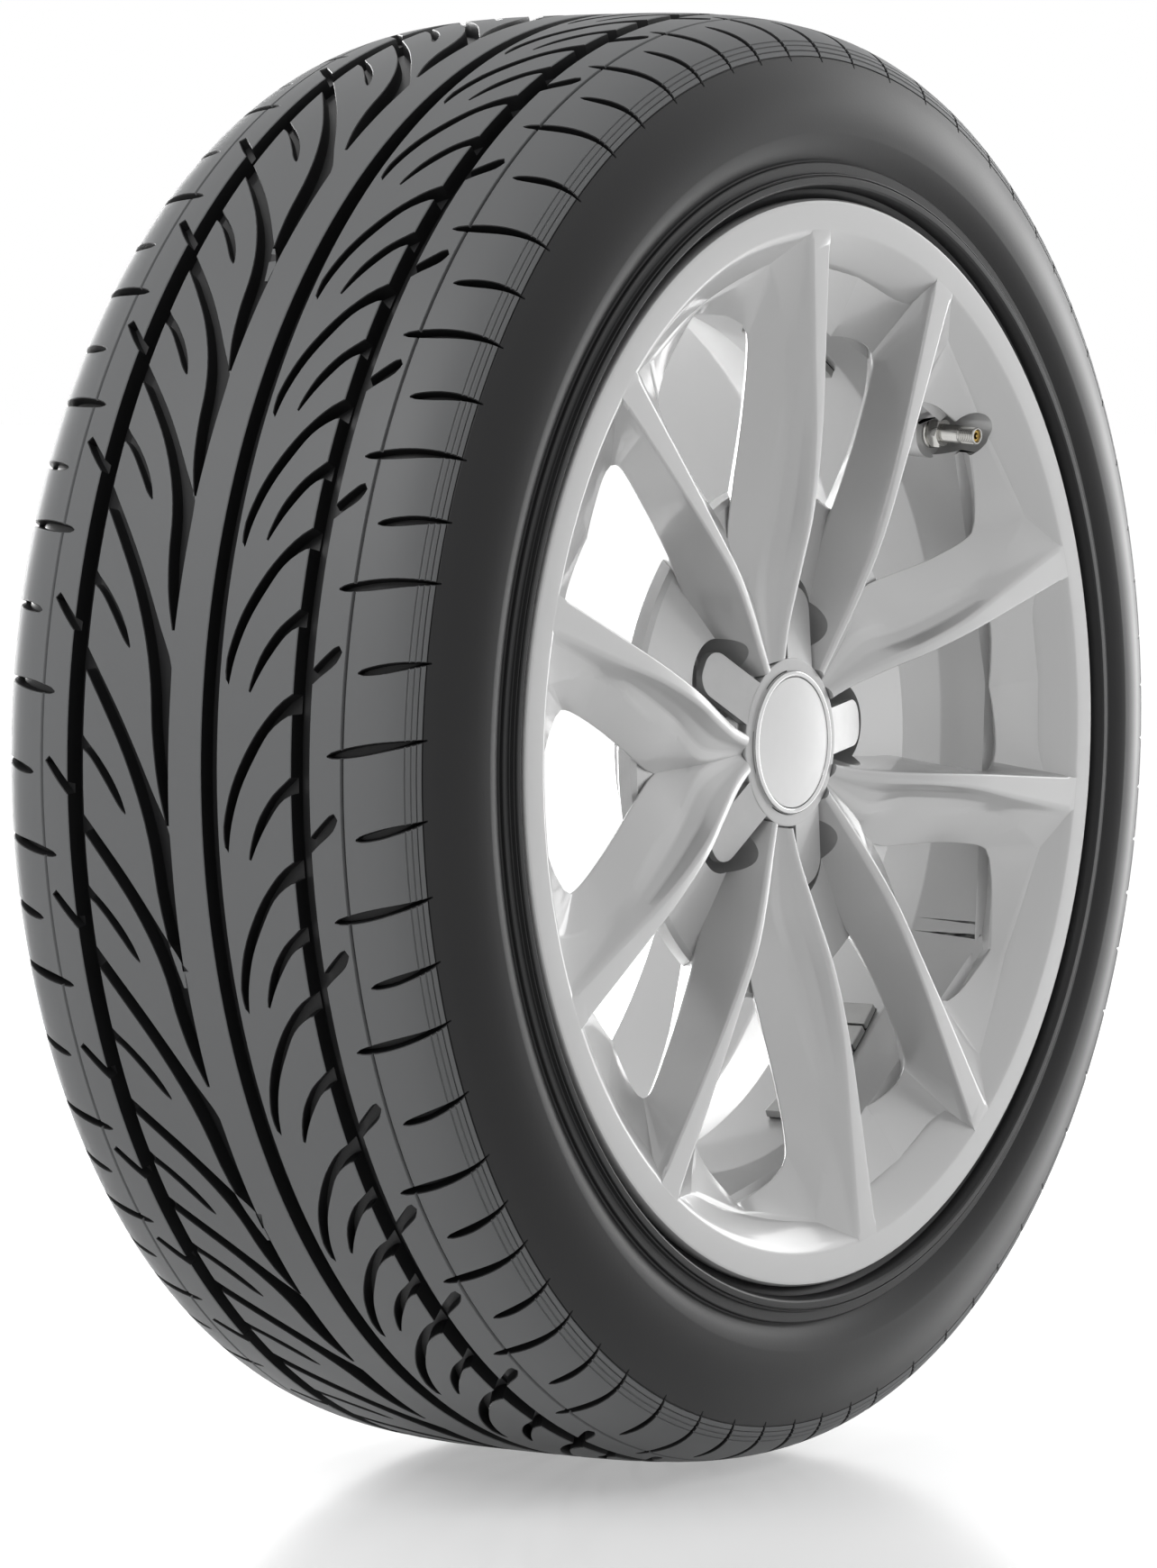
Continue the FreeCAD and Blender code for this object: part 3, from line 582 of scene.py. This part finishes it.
# The ridges are rounded up to the rim's lip, most of all beside the flat land on top of a spoke.
lip_start = 221.0
ridge_angle = math.radians(9)
land_round, ridge_round = 1.7, 1.0
long_edges = []
for edge in pair.edges:
    reach = max(math.hypot(vert.co.x, vert.co.z) for vert in edge.verts)
    if edge not in cross_edges and reach <= lip_start and edge.calc_face_angle() > ridge_angle:
        long_edges.append(edge)
land_verts = {row["land edge"] for row in rows}
land_edges = [edge for edge in long_edges if land_verts.issuperset(edge.verts)]
slim_edges = [edge for edge in long_edges if edge not in land_edges]
pair.faces.new(rows[0].values())
for corners in (
    ("crest", "facet root", "facet edge", "window edge", "back inner"),
    ("land edge", "crest", "back inner"),
    ("land edge", "scoop top", "scoop foot", "crest"),
    ("land edge", "back inner", "back outer"),
    ("land edge", "back outer", "arm edge"),
    ("arm edge", "back outer", "arm root"),
    ("back outer", "arm foot", "arm bead", "arm root"),
):
    pair.faces.new([rows[-1][name] for name in corners])
bmesh.ops.recalc_face_normals(pair, faces=pair.faces)
for edges, radius in ((land_edges, land_round), (slim_edges, ridge_round)):
    bmesh.ops.bevel(pair, geom=edges, offset=radius, offset_type="OFFSET", segments=3, profile=0.5,
                    affect="EDGES", clamp_overlap=False, material=-1)

# The half is trimmed at the pair's middle plane and at the plane of the cover's arm, and then mirrored.
spoke_pitch = 72
half_pitch = math.radians(spoke_pitch / 2)
arm_side = Vector((-math.sin(half_pitch), 0, math.cos(half_pitch)))
for plane_point, plane_normal in (((0, 0, 0), (0, 0, -1)), (arm_side * 0.2, arm_side)):
    bmesh.ops.bisect_plane(pair, geom=pair.verts[:] + pair.edges[:] + pair.faces[:], dist=0.01,
                           plane_co=plane_point, plane_no=plane_normal, clear_outer=True)
open_edges = [edge for edge in pair.edges if edge.is_boundary]
bmesh.ops.holes_fill(pair, edges=open_edges, sides=0)
middle_faces = [face for face in pair.faces if all(abs(vert.co.z) < 0.02 for vert in face.verts)]
bmesh.ops.delete(pair, geom=middle_faces, context="FACES_ONLY")
bmesh.ops.mirror(pair, geom=pair.verts[:] + pair.edges[:] + pair.faces[:], matrix=Matrix.Identity(4),
                 merge_dist=0.03, axis="Z")
bmesh.ops.remove_doubles(pair, verts=pair.verts, dist=0.02)
bmesh.ops.recalc_face_normals(pair, faces=pair.faces)

hub_outline = [
    (28.55, -48.0), (29.55, -47.0), (71.0, -47.0), (72.0, -48.0), (72.0, -53.0), (74.0, -54.8),
    (110.0, -74.2), (112.0, -76.0), (112.0, -82.0), (110.0, -84.0), (44.0, -84.0), (42.4, -84.6),
    (38.4, -88.4), (37.4, -88.8), (30.6, -88.8), (30.6, -62.0), (28.55, -62.0),
]
hub = spun(hub_outline, 120)
casting = as_object(combined(casting, as_object(hub, "hub"), "UNION"), "casting")
arm_angles = [149.33 - spoke_pitch * number for number in range(5)]
for arm_angle in arm_angles:
    turned = pair.copy()
    turn = Matrix.Rotation(half_pitch - math.radians(arm_angle), 3, "Y")
    bmesh.ops.rotate(turned, cent=(0, 0, 0), matrix=turn, verts=turned.verts)
    casting = as_object(combined(casting, as_object(turned, "pair"), "UNION"), "casting")
pair.free()


def placed(bm, place):
    """The mesh moved to a place."""
    bmesh.ops.transform(bm, matrix=place, verts=bm.verts)
    return bm


recess = spun([(0, -130), (37.5, -130), (37.5, -88.8), (0, -88.8)], 120)
casting = as_object(combined(casting, as_object(recess, "recess"), "DIFFERENCE"), "casting")
bolt_shift = Matrix.Translation((56, 0, 0))
bolt_way = [
    (0, -130), (18.4, -130), (17.8, -65.2), (16.8, -64.0), (12.5, -64.0), (7.5, -59.0), (7.5, -40.0),
    (0, -40.0),
]
for arm_angle in arm_angles:
    at_bolt = Matrix.Rotation(math.radians(-arm_angle), 4, "Y") @ bolt_shift
    way = placed(spun(bolt_way, 64), at_bolt)
    casting = as_object(combined(casting, as_object(way, "bolt way"), "DIFFERENCE"), "casting")
valve_angle, valve_tilt = math.radians(41.33), math.radians(6)
valve_seat = (201.6, -74, 0)
valve_place = (Matrix.Rotation(-valve_angle, 4, "Y") @ Matrix.Translation(valve_seat)
               @ Matrix.Rotation(-valve_tilt, 4, "Z"))
boss = placed(spun([(0, 0), (11.8, 0), (11.8, 10), (0, 10)], 64), valve_place)
casting = as_object(combined(casting, as_object(boss, "boss"), "UNION"), "casting")
valve_way = [
    (0, -60), (10.5, -60), (10.5, 0), (5.75, 0), (5.75, 5.5), (9.3, 5.5), (9.3, 17), (0, 17),
]
way = placed(spun(valve_way, 64), valve_place)
wheel = combined(casting, as_object(way, "valve way"), "DIFFERENCE")

# Silver wheel lacquer: fine aluminium flake under a clear coat. It looks pale grey and satin, with a soft
# gloss on top. The flake is drawn a little coarser than it is so that it shows.
flake_size = 0.714
lacquer = empty_material("silver wheel lacquer")
tree = lacquer.node_tree
bump = add_node(tree, "ShaderNodeBump", {
    "Strength": 0.05, "Distance": 0.0001, "Height": noise(tree, flake_size, 2.0)})
paint = add_node(tree, "ShaderNodeBsdfPrincipled", {
    "Base Color": linear("#c4c4c4"), "Metallic": 0.4, "Roughness": 0.38, "Coat Weight": 0.8,
    "Coat Roughness": 0.1, "Normal": bump.outputs["Normal"]})
add_node(tree, "ShaderNodeOutputMaterial", {"Surface": paint.outputs["BSDF"]})
finished(wheel, "cast_wheel", lacquer, 32, "wheel", "alloy_wheel")

# Hub cover: injection-moulded plastic star in silver lacquer, snapped into the centre bore.
# Five arms slope down over the bolt pockets, and their edges are softly rounded.
cover_outline = [
    (31.5, -91.5), (31.5, -92.8), (31.7, -93.0), (35.9, -93.0), (36.6, -92.75), (37.0, -92.1),
    (37.0, -89.0), (30.2, -89.0), (30.2, -70.0), (28.0, -70.0), (28.0, -89.0), (0, -89.0), (0, -91.5),
]
cover = as_object(spun(cover_outline, 120), "cover body")
arm_half_width = 10.3
arm_thickness = 3.2
tip_centre, tip_side, tip_round = 60.5, 1.8, 8.5
arm_plan = [(x, -arm_half_width) for x in (24, 34, 46, tip_centre)]
for step in range(1, 8):
    turn = math.radians(step * 90 / 8)
    arm_plan.append((tip_centre + tip_round * math.sin(turn), -tip_side - tip_round * math.cos(turn)))
arm_plan.append((tip_centre + tip_round, -tip_side))
arm_plan += [(x, -z) for x, z in reversed(arm_plan)]


arm_level, star_face = -92.97, -93
slope_start, slope_length, slope_drop = 33.8, 35.2, 7


def arm_top(x):
    """The plane of the arm's face at a distance from the middle: level first, then sloping down."""
    return max(arm_level, star_face + slope_drop * (x - slope_start) / slope_length)


for arm_angle in arm_angles:
    arm = bmesh.new()
    top = [arm.verts.new((x, arm_top(x), z)) for x, z in arm_plan]
    bottom = [arm.verts.new((x, arm_top(x) + arm_thickness, z)) for x, z in arm_plan]
    rings = [ring_of(arm, loop) for loop in (top, bottom)]
    bmesh.ops.bridge_loops(arm, edges=rings[0] + rings[1])
    cap(arm, top)
    cap(arm, bottom)
    bmesh.ops.recalc_face_normals(arm, faces=arm.faces)
    rim_edges = [edge for edge in rings[0] if min(vert.co.x for vert in edge.verts) > 30]
    bmesh.ops.bevel(arm, geom=rim_edges, offset=0.8, offset_type="OFFSET", segments=3, profile=0.5,
                    affect="EDGES", clamp_overlap=True, material=-1)
    placed(arm, Matrix.Rotation(math.radians(-arm_angle), 4, "Y"))
    cover = as_object(combined(cover, as_object(arm, "arm"), "UNION"), "cover body")
cover_mesh = bmesh.new()
cover_mesh.from_mesh(cover.data)
bpy.data.objects.remove(cover)


def coated(name, colours, metallic, roughs, grain, depth, coat):
    """A finish whose shade and gloss drift between two values, over a grain sized in millimetres."""
    made = empty_material(name)
    tree = made.node_tree
    drift = noise(tree, grain * 12, 3.0)
    shade = add_node(tree, "ShaderNodeMix", {
        0: drift, 6: linear(colours[0]), 7: linear(colours[1])}, data_type="RGBA")
    rough = add_node(tree, "ShaderNodeMapRange", {"Value": drift, "To Min": roughs[0], "To Max": roughs[1]})
    bump = add_node(tree, "ShaderNodeBump", {
        "Strength": 0.3, "Distance": depth * 0.001, "Height": noise(tree, grain, 2.0)})
    skin = add_node(tree, "ShaderNodeBsdfPrincipled", {
        "Base Color": shade.outputs[2], "Metallic": metallic, "Roughness": rough.outputs["Result"],
        "Coat Weight": coat, "Coat Roughness": 0.08, "Normal": bump.outputs["Normal"]})
    add_node(tree, "ShaderNodeOutputMaterial", {"Surface": skin.outputs["BSDF"]})
    return made


# Cover lacquer: the same silver on plastic, a shade darker and flatter than on the casting.
cover_paint = coated("silver lacquer on plastic", ("#b8b8b8", "#b0b0b0"), 0.7, (0.32, 0.4), 0.7, 0.02, 0.3)
finished(cover_mesh, "hub_cover", cover_paint, 35, "cover", "hub_cover")

# Trim ring: a narrow ring of plated plastic, pressed into the recess of the cover.
# It is round on top and stands a little proud of the star.
ring_middle, ring_half_width = 30.0, 1.3
crown_base, crown_height = -94.0, 1.15
ring_outline = [(28.7, -91.5), (31.3, -91.5), (31.3, -94.2)]
for step in range(9):
    turn = math.radians(step * 180 / 8)
    crown = crown_base - crown_height * math.sin(turn)
    ring_outline.append((ring_middle + ring_half_width * math.cos(turn), crown))
ring_outline.append((28.7, -94.2))

# Bright plating: a mirror with the faint waves of the moulding under it.
plating = coated("bright plating", ("#d5d5d5", "#cecece"), 1.0, (0.05, 0.1), 2.0, 0.004, 0.0)
ring = spun(ring_outline, 120)
finished(ring, "cover_trim_ring", plating, 40, "cover", "cover_trim_ring")

# Cover disc: a plain disc of lacquered sheet, stuck inside the ring on a foam pad.
# Its face is a low dome with a small rounded edge.
dome_radius, dome_top, dome_fall = 27.8, -95.4, 1.1
disc_outline = [(0, -92.5), (28.5, -92.5), (28.5, -94.0), (28.3, -94.25)]
for step in range(9, -1, -1):
    radius = dome_radius * step / 9
    disc_outline.append((radius, dome_top + dome_fall * (radius / dome_radius) ** 2))

# Disc lacquer: the palest and glossiest silver on the wheel, with a fine flake.
disc_paint = coated("silver disc lacquer", ("#dadada", "#d5d5d5"), 0.6, (0.27, 0.33), 0.6, 0.01, 0.6)
finished(spun(disc_outline, 120), "cover_disc", disc_paint, 40, "cover", "cover_disc")

# Valve: a turned, nickel-plated stem clamped through the rim by a washer and a hexagon nut.
# The free end has a fine thread, and the core sits just inside its mouth.
thread_start, thread_pitch, thread_ridges = -24.9, 0.85, 9
stem_outline = [
    (1.5, 8.0), (1.5, -3.0), (2.62, -8.5), (2.62, -24.6), (3.1, -25.6), (3.5, -25.6), (3.75, -25.3),
]
for ridge in range(thread_ridges):
    start = thread_start + ridge * thread_pitch
    stem_outline += [(3.85, start), (3.85, start + 0.25), (3.5, start + 0.42), (3.5, start + 0.68)]
stem_outline += [
    (3.7, -17.0), (4.1, -16.4), (4.1, 8.2), (8.2, 8.2), (8.5, 8.5), (8.5, 11.0), (8.2, 11.3), (1.5, 11.3),
]
washer_outline = [(4.2, 0), (7.0, 0), (7.4, -0.4), (7.4, -1.0), (7.0, -1.4), (4.2, -1.4)]
across_flats = 12
corner_radius = across_flats / math.sqrt(3)
nut = bmesh.new()
upright = Matrix.Translation((0, -4.2, 0)) @ Matrix.Rotation(math.radians(90), 4, "X")
bmesh.ops.create_cone(nut, cap_ends=True, segments=6, radius1=corner_radius, radius2=corner_radius, depth=5.6,
                      matrix=upright)
nut = as_object(nut, "nut")
turned_nut = spun([(4.2, -8), (5.9, -8), (6.0, -7.0), (7.1, -6.4), (7.1, -2.0), (6.0, -1.4), (4.2, -1.4)], 48)
nut = placed(combined(nut, as_object(turned_nut, "nut turning"), "INTERSECT"), valve_place)
stem = placed(spun(stem_outline, 48), valve_place)
washer = placed(spun(washer_outline, 48), valve_place)

# Nickel plating: bright but a little yellow and cloudy, with fine marks of the lathe.
nickel = coated("nickel plating", ("#c7c6c3", "#bebdb9"), 1.0, (0.12, 0.22), 0.4, 0.01, 0.0)
finished(stem, "valve_stem", nickel, 40, "wheel", "valve_stem")
finished(washer, "valve_washer", nickel, 30, "wheel", "valve_washer")
finished(nut, "valve_nut", nickel, 25, "wheel", "valve_nut")

# Balance weights: zinc blocks in two strips, stuck to the inside of the barrel with foam tape.
# The coated zinc is dull grey with the rough skin of the die.
zinc = coated("coated zinc", ("#adadac", "#a1a1a0"), 0.8, (0.36, 0.48), 0.8, 0.03, 0.0)
block_size = (4.0, 19.0, 12.0)
block_gap = 1.2
block_place = (187.15, -44.5, 0)
weight_step = math.degrees((block_size[2] + block_gap) / block_place[0])
for name, start, direction, count in (("front", -43.0, -1, 6), ("rear", 58.0, 1, 4)):
    strip = bmesh.new()
    for number in range(count):
        block = bmesh.ops.create_cube(strip, size=1.0)["verts"]
        bmesh.ops.scale(strip, vec=block_size, verts=block)
        bmesh.ops.translate(strip, vec=block_place, verts=block)
        turn = Matrix.Rotation(math.radians(-(start + direction * (number + 0.5) * weight_step)), 3, "Y")
        bmesh.ops.rotate(strip, cent=(0, 0, 0), matrix=turn, verts=block)
    bmesh.ops.bevel(strip, geom=strip.edges[:], offset=0.6, offset_type="OFFSET", segments=2, profile=0.5,
                    affect="EDGES", clamp_overlap=True, material=-1)
    finished(strip, "balance_weights_" + name, zinc, 50, "wheel", "balance_weights_" + name)

# Small parts inside: the seal, the springs, the valve core and the sticky tapes keep their drawn shapes.
# Each gets the finish of its real stuff: black foam, drawn steel wire, rubber, turned brass or pale plastic.
for names, finish in (
    (("cover_disc_pad", "weight_tape_front", "weight_tape_rear"),
     coated("black foam tape", ("#3a3a3a", "#2a2a2a"), 0.0, (0.85, 0.95), 0.5, 0.2, 0.0)),
    (("cover_clip_ring", "valve_core_spring"),
     coated("drawn steel wire", ("#8f8f90", "#7a7a7b"), 1.0, (0.22, 0.36), 0.3, 0.01, 0.0)),
    (("valve_seal",), coated("seal rubber", ("#1e1e1e", "#161616"), 0.0, (0.5, 0.65), 0.6, 0.03, 0.0)),
    (("valve_core_plug", "valve_core_barrel", "valve_core_pin", "valve_core_cup"),
     coated("turned brass", ("#b99a55", "#a88846"), 1.0, (0.2, 0.32), 0.3, 0.01, 0.0)),
    (("valve_core_gasket",),
     coated("gasket plastic", ("#e4e2dc", "#dad8d2"), 0.0, (0.4, 0.5), 0.4, 0.01, 0.0)),
):
    for name in names:
        bpy.data.objects[name].data.materials[0] = finish

# Stage: a pale glossy studio floor under the tyre, a white surround and four soft lamps.
# The camera stands low at the front left, where the photograph was taken from.
floor_mesh = bmesh.new()
bmesh.ops.create_grid(floor_mesh, x_segments=1, y_segments=1, size=30.0)
bmesh.ops.translate(floor_mesh, verts=floor_mesh.verts, vec=(0, 0, ground * 0.001))
floor = as_object(floor_mesh, "studio floor")


def seen_share(tree, unseen, seen):
    """A strength with one value where an eye, a gloss or a glass looks, and another for its light."""
    ray = add_node(tree, "ShaderNodeLightPath", {}).outputs
    direct = add_node(tree, "ShaderNodeMath", {0: ray["Is Camera Ray"], 1: ray["Is Glossy Ray"]})
    looked_at = add_node(tree, "ShaderNodeMath", {0: direct.outputs[0], 1: ray["Is Transmission Ray"]})
    share = add_node(tree, "ShaderNodeMapRange", {
        "Value": looked_at.outputs[0], "To Min": unseen, "To Max": seen})
    return share.outputs["Result"]


# White acrylic: a smooth pale sheet that mirrors the foot of the tyre softly.
paper = empty_material("white acrylic floor")
tree = paper.node_tree
sheet = add_node(tree, "ShaderNodeBsdfPrincipled", {
    "Base Color": linear("#f4f4f4"), "Roughness": 0.16, "Emission Color": (1, 1, 1, 1),
    "Emission Strength": seen_share(tree, 0.0, 0.38)})
add_node(tree, "ShaderNodeOutputMaterial", {"Surface": sheet.outputs["BSDF"]})
floor.data.materials.append(paper)

surround = bpy.data.worlds.new("white studio")
bpy.context.scene.world = surround
surround.use_nodes = True
tree = surround.node_tree
tree.nodes.clear()
glow = add_node(tree, "ShaderNodeBackground", {
    "Color": (1, 1, 1, 1), "Strength": seen_share(tree, 0.1, 1.0)})
add_node(tree, "ShaderNodeOutputWorld", {"Surface": glow.outputs["Background"]})

# Lamps with their place and size in metres and their power. The front one only fills: its mirror image
# would turn the spokes' upper walls white.
for name, position, size, power in (
    ("tread softbox", (-2.4, 0.5, 2.3), 1.8, 52.0),
    ("front softbox", (2.2, -2.4, 1.6), 2.2, 36.0),
    ("right softbox", (3.2, -0.1, 0.3), 2.4, 46.0),
    ("back softbox", (1.2, 2.5, 0.3), 1.6, 80.0),
):
    lamp = bpy.data.lights.new(name, "AREA")
    lamp.size = size
    lamp.energy = power
    light = bpy.data.objects.new(name, lamp)
    light.location = position
    light.visible_glossy = name != "front softbox"
    light.rotation_euler = (-Vector(position)).to_track_quat("-Z", "Y").to_euler()
    bpy.context.scene.collection.objects.link(light)

view = bpy.data.cameras.new("photo view")
view.lens = 161.06
view.sensor_width = 36.0
view.clip_end = 100.0
camera = bpy.data.objects.new("photo view", view)
azimuth, elevation = math.radians(-56.656), math.radians(3.608)
distance = 3.1014
shift_right, shift_up = -0.014785, -0.021342
right = Vector((math.cos(azimuth), math.sin(azimuth), 0))
level = Vector((-math.sin(azimuth), math.cos(azimuth), 0))
forward = level * math.cos(elevation) - Vector((0, 0, math.sin(elevation)))
up = right.cross(forward)
target = right * shift_right + up * shift_up
facing = Matrix((right, up, -forward)).transposed().to_4x4()
camera.matrix_world = Matrix.Translation(target - forward * distance) @ facing
bpy.context.scene.collection.objects.link(camera)
bpy.context.scene.camera = camera
bpy.context.scene.view_settings.view_transform = "Standard"
